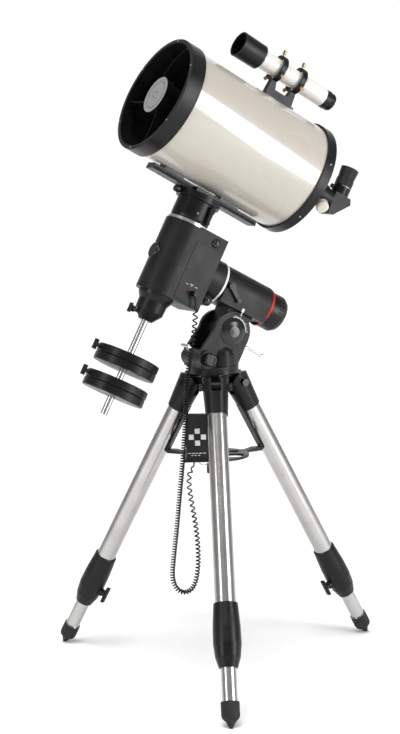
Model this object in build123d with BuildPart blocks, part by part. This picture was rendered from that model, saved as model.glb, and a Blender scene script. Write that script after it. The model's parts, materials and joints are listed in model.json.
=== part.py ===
"""A reflecting telescope on a German equatorial mount and a steel tripod.

Millimetres, +Z up, floor at z = 0, origin at the middle of the whole object's footprint.
Every piece is one function that writes one STEP file.
"""

import os
from math import cos, pi, radians, sin, tan

from build123d import *

os.makedirs("parts", exist_ok=True)

# ---- driving dimensions ---------------------------------------------------------------
MOUNT_X, MOUNT_Y = 10.8, 109.2  # the tripod's centre line, measured from the origin
GAP = 0.3  # air between faces that move past each other
FIT = 0.05  # radial clearance of a pin or shaft in its hole

# tripod
LEG_TAN = 0.56  # a leg's spread, horizontal over vertical
FOOT_REACH = 490.7  # centre line to a foot's tip
LEG_TURNS = {"front": -87.4, "left": 152.6, "right": 32.6}
TUBE_R, TUBE_WALL = 25.4, 1.6
LOWER_R, LOWER_WALL = 19.0, 1.6
HINGE_Z = 750.0
SLEEVE_LOW, SLEEVE_HIGH = 782.0, 905.0
TUBE_LOW, TUBE_HIGH = 166.0, 835.0
CLAMP_LOW, CLAMP_HIGH = 142.0, 298.0
SLEEVE_TOP_Z = 778.0
HUB_R, HUB_LOW, HUB_HIGH = 64.0, 780.0, 789.0
CORE_R = 34.0
LUG_THICK = 24.0
PIN_R = 6.0
ROD_R, ROD_LOW = 5.0, 500.0

# spreader tray and hand controller
TRAY_R, TRAY_Z, TRAY_THICK = 87.0, 562.0, 6.0
ARM_TIP_LOW, ARM_TIP_HIGH = 141.4, 135.8
HAND_X, HAND_Y, HAND_Z = -46.0, -68.0, 562.0
HAND_WIDE, HAND_DEEP, HAND_TALL = 60.0, 24.0, 120.0
KEY_SIZE, KEY_TALL, KEY_STEP = 13.0, 5.0, 15.5
KEY_Z = 62.0

# mount head: the polar axis climbs towards the front, the declination axis crosses it
HEAD_TURN = 207.3
LATITUDE = 28.0
POLAR_Z = 1017.2  # height of the polar axis over the tripod's centre line
CROSS_REACH = 128.0  # along the polar axis to the declination axis
BASE_LOW, BASE_HIGH = 789.3, 799.0
PIVOT_A, PIVOT_Z = -32.0, 887.0  # altitude pivot in the head's own side view
CHEEK_OUT, CHEEK_IN = 48.0, 36.0
CHEEK_R = 51.0
TRUNNION_R = 11.0
KNOB_A, KNOB_Z = 43.0, 821.0

# polar axis housing, positions along the polar axis from the crossing
RA_R, RA_FRONT, RA_REAR = 54.0, -146.0, -288.5
FLANGE_R, FLANGE_REAR, RING_REAR = 56.0, -137.0, -143.5
CAP_R, CAP_REAR = 49.0, -350.0
CAP_SEAT = 48.0

# declination housing, heights along the declination axis from the crossing
DEC_R, DEC_LOW, DEC_HIGH = 57.0, -98.0, 95.0
BLOCK_REAR, BLOCK_HIGH = -99.0, 99.0
COVER_THICK = 2.0
SCALE_R, SCALE_LOW, SCALE_HIGH = 54.5, 95.3, 103.0
HEAD_R, HEAD_LOW, HEAD_HIGH = 51.0, 103.3, 160.0
SPINDLE_R = 24.0
SHAFT_R, SHAFT_LOW, SHAFT_HIGH = 9.0, -430.0, -110.0
WEIGHT_R, WEIGHT_TALL = 82.0, 42.0
WEIGHT_LOWS = {"upper": -309.0, "lower": -379.0}

# optical tube, positions along its own axis from the declination axis
DEC_REST = 2.45
OTA_HEIGHT = 346.0
TUBE_OUT, TUBE_SKIN = 147.2, 2.0
TUBE_REAR, TUBE_FRONT = -217.0, 195.0
RING_OUT, RING_BACK, RING_FRONT = 152.7, 189.2, 231.6
CELL_REAR = -248.0
BAR_WIDE, BAR_THICK, BAR_TOP = 40.0, 15.0, -154.0
BAR_REAR, BAR_FRONT = -172.0, 162.0
FINDER_HEIGHT, FINDER_R = 226.0, 25.0
FOCUS_END, EYE_PLACE = -355.0, -381.0  # the focuser's rear end and the eyepiece's own line

# curly cord
CORD_R = 6.5


# ---- frames ---------------------------------------------------------------------------
def direction(turn, climb=0.0):
    """A unit vector at a turn about +Z and a climb above the level, both in degrees."""
    level = cos(radians(climb))
    return Vector(cos(radians(turn)) * level, sin(radians(turn)) * level, sin(radians(climb)))


CENTRE = Vector(MOUNT_X, MOUNT_Y, 0)
UP = Vector(0, 0, 1)
HEAD_FRONT = direction(HEAD_TURN)
NEAR = direction(HEAD_TURN + 90)
POLAR = direction(HEAD_TURN, LATITUDE)
DEC = POLAR.cross(NEAR)
CROSS = CENTRE + UP * POLAR_Z + POLAR * CROSS_REACH
SIGHT = POLAR * cos(radians(DEC_REST)) + NEAR * sin(radians(DEC_REST))
SIGHT_NEAR = DEC.cross(SIGHT)
TUBE_MID = CROSS + DEC * OTA_HEIGHT

level_frame = Plane(origin=CENTRE, x_dir=(1, 0, 0), z_dir=UP)
head_frame = Plane(origin=CENTRE, x_dir=HEAD_FRONT, z_dir=UP)
head_side = Plane(origin=CENTRE, x_dir=HEAD_FRONT, z_dir=-NEAR)
ra_frame = Plane(origin=CROSS, x_dir=NEAR, z_dir=POLAR)
dec_frame = Plane(origin=CROSS, x_dir=POLAR, z_dir=DEC)
mid_side = Plane(origin=CROSS, x_dir=POLAR, z_dir=-NEAR)
top_frame = Plane(origin=CROSS, x_dir=SIGHT, z_dir=DEC)
top_side = Plane(origin=CROSS, x_dir=SIGHT, z_dir=-SIGHT_NEAR)
ota_frame = Plane(origin=TUBE_MID, x_dir=SIGHT_NEAR, z_dir=SIGHT)
ota_side = Plane(origin=TUBE_MID, x_dir=SIGHT, z_dir=-SIGHT_NEAR)
finder_frame = Plane(origin=TUBE_MID + DEC * FINDER_HEIGHT, x_dir=SIGHT_NEAR, z_dir=SIGHT)


def leg_frame(turn):
    """A leg's own frame: origin at the foot's tip, z up the leg, x outwards, y sideways."""
    out = direction(turn)
    along = (UP - out * LEG_TAN).normalized()
    return Plane(origin=CENTRE + out * FOOT_REACH, x_dir=direction(turn + 90).cross(along), z_dir=along)


def radial_side(turn):
    """The upright plane through a leg: x outwards from the centre line, y up."""
    return Plane(origin=CENTRE, x_dir=direction(turn), z_dir=-direction(turn + 90))


def at(plane, x=0.0, y=0.0, z=0.0):
    """The same frame moved to a point given in its own x, y and z."""
    return Plane(origin=plane.from_local_coords(Vector(x, y, z)), x_dir=plane.x_dir, z_dir=plane.z_dir)


def tipped(plane, z_dir, x_dir):
    """A frame at the same origin that looks along another direction."""
    return Plane(origin=plane.origin, x_dir=x_dir, z_dir=z_dir)


# ---- shapes used inside a part's own block ---------------------------------------------
def bar(plane, low, high, radius, mode=Mode.ADD):
    """A round bar along the frame's z, from low to high."""
    with BuildSketch(plane.offset(low)) as end:
        Circle(radius)
    extrude(end.sketch, amount=high - low, mode=mode)


def block(plane, low, high, wide, deep, mode=Mode.ADD):
    """A square bar along the frame's z, from low to high."""
    with BuildSketch(plane.offset(low)) as end:
        Rectangle(wide, deep)
    extrude(end.sketch, amount=high - low, mode=mode)


def plate(plane, points, half, mode=Mode.ADD):
    """A flat plate with a cornered outline, half a thickness each way from its plane."""
    with BuildSketch(plane) as outline:
        Polygon(*points, align=None)
    extrude(outline.sketch, amount=half, both=True, mode=mode)


def turned(plane, points, mode=Mode.ADD):
    """A turned shape about the frame's z, from points of (radius, height)."""
    half = Plane(origin=plane.origin, x_dir=plane.x_dir, z_dir=-plane.y_dir)
    with BuildSketch(half) as profile:
        Polygon(*points, align=None)
    revolve(profile.sketch, axis=Axis(plane.origin, plane.z_dir), mode=mode)


def write(piece, name):
    """Label a finished piece and write its STEP file."""
    piece.part.label = name
    export_step(piece.part, f"parts/{name}.step")


# ---- tripod ---------------------------------------------------------------------------
HINGE_REACH = FOOT_REACH - LEG_TAN * HINGE_Z
HINGE_ALONG = HINGE_Z * (1 + LEG_TAN**2) ** 0.5


def tripod_hub():
    lug_half = 17.0
    with BuildPart() as hub:
        bar(level_frame, HUB_LOW, HUB_HIGH, HUB_R)
        bar(level_frame, HINGE_Z - lug_half, HUB_LOW, CORE_R)
        for turn in LEG_TURNS.values():
            with BuildSketch(radial_side(turn)) as lug:
                with Locations((HINGE_REACH, HINGE_Z)):
                    Circle(lug_half)
                with Locations((HINGE_REACH / 2, HINGE_Z)):
                    Rectangle(HINGE_REACH, 2 * lug_half)
            extrude(lug.sketch, amount=LUG_THICK / 2, both=True)
        for turn in LEG_TURNS.values():
            hinge = at(leg_frame(turn), z=HINGE_ALONG)
            bar(tipped(hinge, hinge.y_dir, hinge.z_dir), -LUG_THICK, LUG_THICK, PIN_R, Mode.SUBTRACT)
        bar(level_frame, 0, HUB_HIGH, ROD_R, Mode.SUBTRACT)
    write(hub, "tripod_hub")


def leg_pins():
    half, head_tall, head_r = 35.5, 7.0, 10.5
    with BuildPart() as pins:
        for turn in LEG_TURNS.values():
            hinge = at(leg_frame(turn), z=HINGE_ALONG)
            across = tipped(hinge, hinge.y_dir, hinge.z_dir)
            bar(across, -half, half, PIN_R)
            for low in (half, -half - head_tall):
                with BuildSketch(across.offset(low)) as head:
                    RegularPolygon(head_r, 6)
                extrude(head.sketch, amount=head_tall)
    write(pins, "leg_pins")


def center_rod():
    with BuildPart() as rod:
        bar(level_frame, ROD_LOW, HUB_HIGH, ROD_R)
        chamfer(rod.faces().sort_by(Axis.Z)[0].edges(), 1.0)
    write(rod, "center_rod")


def leg_sleeve(side, turn):
    """The black casting that takes a leg's tube and forks round the hub's lug."""
    leg = leg_frame(turn)
    upright = radial_side(turn)
    low_r, high_r = 28.5, 36.0
    strap_low, strap_deep, strap_wide = 660.0, 4.0, 18.0
    strap_x = -(TUBE_R + GAP + strap_deep / 2)
    top_round = 27.5
    with BuildPart() as sleeve:
        turned(leg, [(0, SLEEVE_LOW), (low_r, SLEEVE_LOW), (high_r, SLEEVE_HIGH), (0, SLEEVE_HIGH)])
        block(at(leg, x=strap_x), strap_low, SLEEVE_LOW + 20, strap_deep, strap_wide)
        bar(leg, SLEEVE_LOW - 1, TUBE_HIGH, TUBE_R, Mode.SUBTRACT)
        bar(level_frame, SLEEVE_TOP_Z, SLEEVE_TOP_Z + 100, 200, Mode.SUBTRACT)
        with BuildSketch(upright) as inner_top:
            with Locations((HINGE_REACH - 50, HINGE_Z + 40)):
                Rectangle(100, 80)
            with Locations((HINGE_REACH, HINGE_Z)):
                Circle(top_round, mode=Mode.SUBTRACT)
        extrude(inner_top.sketch, amount=60, both=True, mode=Mode.SUBTRACT)
        block(leg, HINGE_ALONG - 21, SLEEVE_HIGH, 100, LUG_THICK + 2 * GAP, Mode.SUBTRACT)
        hinge = at(leg, z=HINGE_ALONG)
        bar(tipped(hinge, hinge.y_dir, hinge.z_dir), -50, 50, PIN_R + FIT, Mode.SUBTRACT)
    write(sleeve, f"leg_sleeve_{side}")


def leg_tube(side, turn):
    leg = leg_frame(turn)
    with BuildPart() as tube:
        bar(leg, TUBE_LOW, TUBE_HIGH, TUBE_R)
        bar(leg, TUBE_LOW, TUBE_HIGH, TUBE_R - TUBE_WALL, Mode.SUBTRACT)
    write(tube, f"leg_tube_{side}")


def leg_clamp(side, turn):
    """The barrel that joins a leg's upper tube to its sliding lower tube."""
    leg = leg_frame(turn)
    screw = at(leg, z=197.0)
    inwards = tipped(screw, -leg.x_dir, leg.y_dir)
    outline = [(0, CLAMP_LOW), (23, CLAMP_LOW), (31, 168), (34.5, 200), (34, 240), (30, CLAMP_HIGH)]
    with BuildPart() as clamp:
        turned(leg, [*outline, (0, CLAMP_HIGH)])
        bar(inwards, 26, 40, 11)
        bar(leg, TUBE_LOW, CLAMP_HIGH, TUBE_R, Mode.SUBTRACT)
        bar(leg, CLAMP_LOW, TUBE_LOW, LOWER_R + GAP, Mode.SUBTRACT)
        bar(inwards, 24, 41, 4 + GAP, Mode.SUBTRACT)
    write(clamp, f"leg_clamp_{side}")


def leg_knob(side, turn):
    """The T-handle whose screw holds the lower tube."""
    leg = leg_frame(turn)
    screw = at(leg, z=197.0)
    inwards = tipped(screw, -leg.x_dir, leg.y_dir)
    stem_r, stem_low, stem_high = 4.0, 26.0, 50.0
    handle_r, handle_half = 6.0, 22.0
    with BuildPart() as knob:
        bar(inwards, stem_low, stem_high, stem_r)
        bar(inwards, 41.0, 47.0, 8.0)
        handle = at(inwards, z=stem_high)
        with BuildSketch(tipped(handle, leg.z_dir, leg.y_dir)) as end:
            SlotOverall(2.6 * handle_r, 1.6 * handle_r)
        extrude(end.sketch, amount=handle_half, both=True)
    write(knob, f"leg_knob_{side}")


def lower_leg(side, turn):
    """The sliding lower tube with its bush and its rubber foot."""
    leg = leg_frame(turn)
    foot_top, cup_top, bush_low, bush_high = 30.0, 62.0, 600.0, 620.0
    cup_r = 22.5
    foot = [(0, 4), (4, 0), (11, 14), (21, 24), (cup_r, foot_top)]
    with BuildPart() as lower:
        bar(leg, foot_top, bush_high, LOWER_R)
        bar(leg, bush_low, bush_high, TUBE_R - TUBE_WALL - GAP)
        bar(leg, foot_top, bush_high, LOWER_R - LOWER_WALL, Mode.SUBTRACT)
        turned(leg, [*foot, (cup_r, cup_top), (LOWER_R, cup_top), (LOWER_R, foot_top), (0, foot_top)])
        bar(level_frame, -50, 0, 700, Mode.SUBTRACT)
    write(lower, f"lower_leg_{side}")


# ---- spreader tray and hand controller ----------------------------------------------------
def spreader_tray():
    """A round holed plate with three arms that press the legs apart, and a pocket."""
    big, small, reach = 25.4, 16.0, 55.0
    slot_wide, slot_deep, ledge = 64.0, 28.0, 3.0
    arm_half, root = 11.0, 60.0
    low, high = TRAY_Z - TRAY_THICK / 2, TRAY_Z + TRAY_THICK / 2
    pocket = at(level_frame, x=HAND_X, y=HAND_Y)
    with BuildPart() as tray:
        bar(level_frame, low, high, TRAY_R)
        for turn in LEG_TURNS.values():
            arm = [(root, low), (ARM_TIP_LOW, low), (ARM_TIP_HIGH, high + 4), (118, high + 4)]
            plate(radial_side(turn), [*arm, (98, high), (root, high)], arm_half)
        block(pocket, HAND_Z - ledge, high, slot_wide + 4, slot_deep + 4)
        block(pocket, HAND_Z, high, slot_wide, slot_deep, Mode.SUBTRACT)
        block(pocket, 0, high, slot_wide - 8, slot_deep - 6, Mode.SUBTRACT)
        for turn, hole in ((92.6, big), (-27.4, big), (152.6, small), (32.6, small), (-57.0, small / 2)):
            spot = direction(turn) * reach
            bar(at(level_frame, x=spot.X, y=spot.Y), 0, high, hole, Mode.SUBTRACT)
        bar(level_frame, 0, high, ROD_R + GAP, Mode.SUBTRACT)
    write(tray, "spreader_tray")


def tray_knob():
    """The lobed nut under the tray."""
    top = TRAY_Z - TRAY_THICK / 2
    with BuildPart() as knob:
        bar(level_frame, top - 42, top - 18, 18)
        with BuildSketch(level_frame.offset(top - 42)) as lobes:
            with PolarLocations(20, 5):
                Circle(8)
        extrude(lobes.sketch, amount=20)
        bar(level_frame, top - 18, top - GAP, 11)
        bar(level_frame, 0, top, ROD_R + GAP, Mode.SUBTRACT)
    write(knob, "tray_knob")


def handset_case():
    with BuildPart() as case:
        block(at(level_frame, x=HAND_X, y=HAND_Y), HAND_Z, HAND_Z + HAND_TALL, HAND_WIDE, HAND_DEEP)
        fillet(case.edges().filter_by(Axis.Z), 6.0)
        fillet(case.faces().sort_by(Axis.Z)[-1].edges(), 4.0)
        for x, z in KEY_PLACES.values():
            front = key_frame(x, z)
            block(front, -4, 10, KEY_SIZE + 1.0, KEY_SIZE + 1.0, Mode.SUBTRACT)
    write(case, "handset_case")


KEY_PLACES = {
    "up": (0.0, KEY_Z + KEY_STEP),
    "down": (0.0, KEY_Z - KEY_STEP),
    "left": (-KEY_STEP, KEY_Z),
    "right": (KEY_STEP, KEY_Z),
}


def key_frame(x, z):
    """A key's frame on the controller's face, z out of the face."""
    front = Vector(MOUNT_X + HAND_X + x, MOUNT_Y + HAND_Y - HAND_DEEP / 2, HAND_Z + z)
    return Plane(origin=front, x_dir=(1, 0, 0), z_dir=(0, -1, 0))


def key(name):
    front = key_frame(*KEY_PLACES[name])
    with BuildPart() as cap:
        block(front, -2.0, 3.0, KEY_SIZE, KEY_SIZE)
        fillet(cap.faces().sort_by(Axis.Y)[0].edges(), 1.2)
    write(cap, f"key_{name}")


# ---- azimuth base ---------------------------------------------------------------------
def azimuth_base():
    """The turning base: a round foot, two cheeks, a front wall and the knob bosses."""
    reach_front, reach_rear = 62.0, -44.0
    cheek = [(reach_rear, BASE_HIGH), (-77, 862), (PIVOT_A - CHEEK_R * 0.87, PIVOT_Z), (PIVOT_A, PIVOT_Z)]
    cheek += [(PIVOT_A + CHEEK_R * 0.97, PIVOT_Z + 12), (reach_front - 8, 852), (reach_front, 840)]
    cheek += [(reach_front, BASE_HIGH)]
    cheek_mid = (CHEEK_OUT + CHEEK_IN) / 2
    cheek_half = (CHEEK_OUT - CHEEK_IN) / 2
    with BuildPart() as base:
        bar(head_frame, BASE_LOW, BASE_HIGH, HUB_R)
        for side in (-1, 1):
            wall = head_side.offset(side * cheek_mid)
            plate(wall, cheek, cheek_half)
            bar(at(wall, x=PIVOT_A, y=PIVOT_Z), -cheek_half, cheek_half, CHEEK_R)
            bulge = at(head_frame, x=-8.0, y=-side * 32.0)
            turned(bulge, [(0, BASE_HIGH), (30, BASE_HIGH), (30, 828), (26, 840), (16, 849), (0, 852)])
        block(at(head_frame, x=52.0), BASE_HIGH, 846, 20, 2 * CHEEK_OUT)
        block(at(head_frame, x=-10.0), BASE_HIGH, 812, 70, 2 * CHEEK_OUT)
        bar(at(head_side, x=KNOB_A, y=KNOB_Z), -55, 55, 24)
        lug_room = at(head_side, x=PIVOT_A, y=PIVOT_Z)
        bar(lug_room, -CHEEK_IN, CHEEK_IN, 40, Mode.SUBTRACT)
        block(at(head_frame, x=-32.0), 852, 1000, 150, 2 * CHEEK_IN, Mode.SUBTRACT)
        bar(lug_room, -60, 60, TRUNNION_R, Mode.SUBTRACT)
        bar(at(head_side, x=KNOB_A, y=KNOB_Z), -80, 80, 4 + GAP, Mode.SUBTRACT)
        for screw in (alt_front(), alt_rear()):
            bar(screw, -40, 60, 4 + GAP, Mode.SUBTRACT)
    write(base, "azimuth_base")


def alt_front():
    """The front altitude screw's frame, z out along the screw."""
    climb = 34.0
    out = (HEAD_FRONT * cos(radians(climb)) + UP * sin(radians(climb))).normalized()
    return Plane(origin=head_frame.from_local_coords(Vector(54.0, 0, 838.0)), x_dir=NEAR, z_dir=out)


def alt_rear():
    """The rear altitude screw's frame, z out along the screw."""
    return Plane(origin=head_frame.from_local_coords(Vector(-40.0, 0, 836.0)), x_dir=NEAR, z_dir=-HEAD_FRONT)


def pivot_caps():
    """Two domed covers on the cheeks with the trunnions that carry the head."""
    dome = [(0, 60.0), (14, 59.0), (26, 55.5), (35, 49.5), (36, CHEEK_OUT), (0, CHEEK_OUT)]
    with BuildPart() as caps:
        for side in (-1, 1):
            centre = at(head_side, x=PIVOT_A, y=PIVOT_Z)
            out = Plane(origin=centre.origin, x_dir=HEAD_FRONT, z_dir=NEAR * side)
            turned(out, dome)
            bar(out, 10.0, CHEEK_OUT, TRUNNION_R)
    write(caps, "pivot_caps")


def azimuth_knobs():
    """The two azimuth screws, one from each side on one axis."""
    with BuildPart() as knobs:
        for side in (-1, 1):
            centre = at(head_side, x=KNOB_A, y=KNOB_Z)
            out = Plane(origin=centre.origin, x_dir=HEAD_FRONT, z_dir=NEAR * side)
            bar(out, 12.0, 58.0, 4.0)
            turned(out, [(0, 56), (14, 56), (17, 60), (17, 70), (14, 73), (10, 73), (10, 71), (0, 71)])
    write(knobs, "azimuth_knobs")


def altitude_bolt_front():
    screw = alt_front()
    handle = at(screw, z=30.0)
    with BuildPart() as bolt:
        bar(screw, -12, 30, 4)
        bar(tipped(handle, NEAR, screw.z_dir), -22, 22, 4.5)
        bar(screw, 17, 24, 7)
    write(bolt, "altitude_bolt_front")


def altitude_bolt_rear():
    screw = alt_rear()
    elbow = at(screw, z=60.0)
    out = (-HEAD_FRONT * cos(radians(32)) - UP * sin(radians(32))).normalized()
    with BuildPart() as bolt:
        bar(screw, -12, 60, 4)
        bar(screw, 14, 22, 8)
        bar(Plane(origin=elbow.origin, x_dir=NEAR, z_dir=out), -1, 44, 2.5)
        bar(Plane(origin=elbow.origin + out * 44, x_dir=NEAR, z_dir=-HEAD_FRONT), -2, 12, 3.5)
    write(bolt, "altitude_bolt_rear")


# ---- polar axis ---------------------------------------------------------------------------
def ra_housing():
    """The polar housing: a round-topped body with the lug that hangs in the cheeks."""
    lug_half = CHEEK_IN - GAP
    floor = -45.0
    pivot = at(head_side, x=PIVOT_A, y=PIVOT_Z)
    with BuildPart() as housing:
        with BuildSketch(ra_frame.offset(RA_REAR)) as section:
            Circle(RA_R)
            with Locations((0, floor / 2)):
                Rectangle(2 * RA_R, -floor)
            with Locations((0, floor - RA_R / 2)):
                Rectangle(3 * RA_R, RA_R, mode=Mode.SUBTRACT)
        extrude(section.sketch, amount=RA_FRONT - RA_REAR)
        bar(ra_frame, RA_REAR - 8, RA_REAR, 49)
        lug = [(-185, floor + 4), (-187, -82), (-219, -128), (-252, -82), (-262, floor + 4)]
        plate(mid_side, lug, lug_half)
        bar(pivot, -lug_half, lug_half, 34)
        bar(pivot, -60, 60, TRUNNION_R + FIT, Mode.SUBTRACT)
        bar(pivot, -10, 10, 24, Mode.SUBTRACT)
        bar(ra_frame, RA_REAR - 8, RA_FRONT, 30, Mode.SUBTRACT)
        bar(lever_frame(), -4, 20, 5 + FIT, Mode.SUBTRACT)
    write(housing, "ra_housing")


def lever_frame():
    """The polar clutch lever's screw, z out of the housing's near side."""
    spot = mid_side.from_local_coords(Vector(-158.0, 2.0, -RA_R + 6))
    return Plane(origin=spot, x_dir=(-POLAR * 0.8 - DEC * 0.6).normalized(), z_dir=NEAR)


def ra_lever():
    lever = lever_frame()
    with BuildPart() as handle:
        bar(lever, -3.5, 8, 5)
        bar(lever, 6.5, 15, 9)
        with BuildSketch(at(lever, z=8.5)) as arm:
            Polygon((0, -7), (42, -4.5), (42, 4.5), (0, 7), align=None)
        extrude(arm.sketch, amount=6)
        bar(at(lever, x=42), 7.5, 16.5, 6)
    write(handle, "ra_lever")


def polar_cap():
    """The knurled cap over the polar housing's rear end."""
    rim = RA_REAR - 8 - GAP
    crown = [(0, CAP_REAR), (34, CAP_REAR), (43, CAP_REAR + 5)]
    with BuildPart() as cap:
        turned(ra_frame, [*crown, (CAP_R, CAP_REAR + 16), (CAP_R, rim), (0, rim)])
        bar(ra_frame, CAP_REAR + 6, rim, 44, Mode.SUBTRACT)
        with BuildSketch(ra_frame.offset(CAP_REAR + 8)) as grooves:
            with PolarLocations(CAP_R + 0.6, 36):
                Circle(1.6)
        extrude(grooves.sketch, amount=24, mode=Mode.SUBTRACT)
    write(cap, "polar_cap")


# ---- declination axis ---------------------------------------------------------------------
def dec_housing():
    """The declination housing: round in front, square at the back, with the polar flange."""
    worm_end = Vector(-113.0, -60.0, 0)
    axle_r, low_bore, high_bore = 29.0, -10.0, 40.0
    with BuildPart() as housing:
        with BuildSketch(dec_frame.offset(DEC_LOW)) as section:
            Circle(DEC_R)
            with Locations((BLOCK_REAR / 2, 0)):
                Rectangle(-BLOCK_REAR, 2 * DEC_R)
        extrude(section.sketch, amount=DEC_HIGH - DEC_LOW)
        block(at(dec_frame, x=(BLOCK_REAR - 14) / 2), DEC_HIGH - 2, BLOCK_HIGH, -BLOCK_REAR - 14, 2 * DEC_R)
        bar(dec_frame, SCALE_LOW - GAP, BLOCK_HIGH + 1, DEC_R + 1.0, Mode.SUBTRACT)
        bar(ra_frame, FLANGE_REAR, BLOCK_REAR + 2, FLANGE_R)
        bar(ra_frame, RING_REAR, FLANGE_REAR, FLANGE_R - 4)
        bar(ra_frame, RA_REAR + 60, RING_REAR, axle_r)
        worm = Plane(origin=mid_side.from_local_coords(worm_end), x_dir=POLAR, z_dir=NEAR)
        bar(worm, 18, 50, 13.5)
        bar(ra_frame, CAP_SEAT, DEC_R + 3, 22.5 + GAP, Mode.SUBTRACT)
        block(at(cover_frame(), z=-COVER_THICK), 0, 20, COVER_LONG + 0.4, COVER_WIDE + 0.4, Mode.SUBTRACT)
        bar(dec_frame, -250, low_bore, SHAFT_R + GAP, Mode.SUBTRACT)
        bar(dec_frame, high_bore, 200, SPINDLE_R + FIT, Mode.SUBTRACT)
    write(housing, "dec_housing")


COVER_LONG, COVER_WIDE = 152.0, 79.0
SOCKET_DOWN, PLUG_ASIDE = -48.0, -7.2


def cover_frame():
    """The electronics cover's place on the near side, x up the declination axis."""
    spot = mid_side.from_local_coords(Vector(-57.5, -14.0, -DEC_R))
    return Plane(origin=spot, x_dir=DEC, z_dir=NEAR)


def dec_cover():
    """The flat cover with its two sockets and the pilot light's hole."""
    face = cover_frame()
    with BuildPart() as cover:
        block(at(face, z=-COVER_THICK), 0, COVER_THICK + 1.0, COVER_LONG, COVER_WIDE)
        fillet(cover.edges().filter_by(lambda edge: abs(edge.length - COVER_THICK - 1.0) < 0.01), 2.0)
        bar(at(face, x=SOCKET_DOWN, y=5.5), 0, 4, 5.0)
        bar(at(face, x=SOCKET_DOWN, y=5.5), 1, 4, 3.0, Mode.SUBTRACT)
        block(at(face, x=SOCKET_DOWN, y=PLUG_ASIDE), 0, 3, 13, 12)
        bar(at(face, x=SOCKET_DOWN, y=17.8), -1, 4, 2, Mode.SUBTRACT)
    write(cover, "dec_cover")


def dec_end_cap():
    """The black nose that the counterweight shaft comes out of, with its lock screw."""
    nose = [(0, DEC_LOW), (48, DEC_LOW), (46, -106), (38, -120), (37, -146), (18, -170), (0, -170)]
    screw = Plane(origin=dec_frame.from_local_coords(Vector(0, 0, -157.0)), x_dir=DEC, z_dir=POLAR)
    with BuildPart() as cap:
        turned(dec_frame, nose)
        bar(dec_frame, -171, DEC_LOW, SHAFT_R + GAP, Mode.SUBTRACT)
        bar(screw, 20, 48, 4.5)
        bar(screw, 40, 46, 8)
        bar(tipped(at(screw, z=52), DEC, POLAR), -12, 12, 5)
    write(cap, "dec_end_cap")


def counter_shaft():
    with BuildPart() as shaft:
        bar(dec_frame, SHAFT_LOW, SHAFT_HIGH, SHAFT_R)
        chamfer(shaft.faces().sort_by(Axis.Z)[0].edges(), 1.5)
    write(shaft, "counter_shaft")


def weight(name, low):
    """A disc weight with its middle groove and its T-screw."""
    high = low + WEIGHT_TALL
    mid = low + WEIGHT_TALL / 2
    screw = Plane(origin=dec_frame.from_local_coords(Vector(0, 0, high - 11.0)), x_dir=DEC, z_dir=POLAR)
    with BuildPart() as disc:
        turned(
            dec_frame,
            [
                (0, low),
                (WEIGHT_R - 2, low),
                (WEIGHT_R, low + 2),
                (WEIGHT_R, mid - 2),
                (WEIGHT_R - 2, mid),
                (WEIGHT_R, mid + 2),
                (WEIGHT_R, high - 2),
                (WEIGHT_R - 2, high),
                (0, high),
            ],
        )
        bar(dec_frame, low - 1, high + 1, SHAFT_R + GAP, Mode.SUBTRACT)
        bar(screw, WEIGHT_R - 6, WEIGHT_R + 16, 5)
        bar(tipped(at(screw, z=WEIGHT_R + 16), DEC, POLAR), -13, 13, 6)
    write(disc, f"weight_{name}")


def front_cap():
    """The press-on cap at the polar axis' front end."""
    rim, face = DEC_R, DEC_R + 3.5
    with BuildPart() as cap:
        turned(ra_frame, [(0, CAP_SEAT), (22.5, CAP_SEAT), (22.5, rim), (19, face), (0, face)])
    write(cap, "front_cap")


def dec_head():
    """The turning head above the declination housing."""
    foot = [(0, HEAD_LOW), (HEAD_R - 3, HEAD_LOW), (HEAD_R, HEAD_LOW + 8.7)]
    with BuildPart() as head:
        turned(top_frame, [*foot, (HEAD_R, HEAD_HIGH), (0, HEAD_HIGH)])
        bar(top_frame, 60, HEAD_LOW, SPINDLE_R)
        bar(dec_lever_frame(), -4, 30, 5 + FIT, Mode.SUBTRACT)
    write(head, "dec_head")


def dec_scale_ring():
    with BuildPart() as ring:
        bar(top_frame, SCALE_LOW, SCALE_HIGH, SCALE_R)
        bar(top_frame, SCALE_LOW, SCALE_HIGH, SPINDLE_R + GAP, Mode.SUBTRACT)
    write(ring, "dec_scale_ring")


def dec_lever_frame():
    """The declination clutch lever's screw, z out of the head towards the near side."""
    out = (NEAR * cos(radians(24)) - POLAR * sin(radians(24))).normalized()
    spot = top_frame.origin + DEC * 148 + out * (HEAD_R - 6)
    return Plane(origin=spot, x_dir=-DEC, z_dir=out)


def dec_lever():
    lever = dec_lever_frame()
    with BuildPart() as handle:
        bar(lever, -3.5, 10, 5)
        bar(lever, 8, 17, 9)
        with BuildSketch(at(lever, z=10)) as arm:
            Polygon((0, -7), (33, -4.5), (33, 4.5), (0, 7), align=None)
        extrude(arm.sketch, amount=6)
        bar(at(lever, x=33), 8, 18, 6)
    write(handle, "dec_lever")


def saddle():
    """The round saddle with the jaws that hold the dovetail bar."""
    low, high = HEAD_HIGH, OTA_HEIGHT + BAR_TOP - BAR_THICK - 0.2
    jaw_high = high + 13.0
    slope = BAR_THICK * tan(radians(15))
    jaw = BAR_WIDE / 2 + 0.5
    outer_side = [(jaw, high - 1), (jaw + 15, high - 1), (jaw + 15, jaw_high)]
    with BuildPart() as seat:
        bar(top_frame, low, high, 59)
        for side in (-1, 1):
            with BuildSketch(Plane(origin=CROSS, x_dir=SIGHT_NEAR * side, z_dir=SIGHT * side)) as section:
                Polygon(*outer_side, (jaw - slope * 0.5, jaw_high), align=None)
            extrude(section.sketch, amount=34, both=True)
        bar(saddle_screw(), -40, 30, 4 + GAP, Mode.SUBTRACT)
    write(seat, "saddle")


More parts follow.
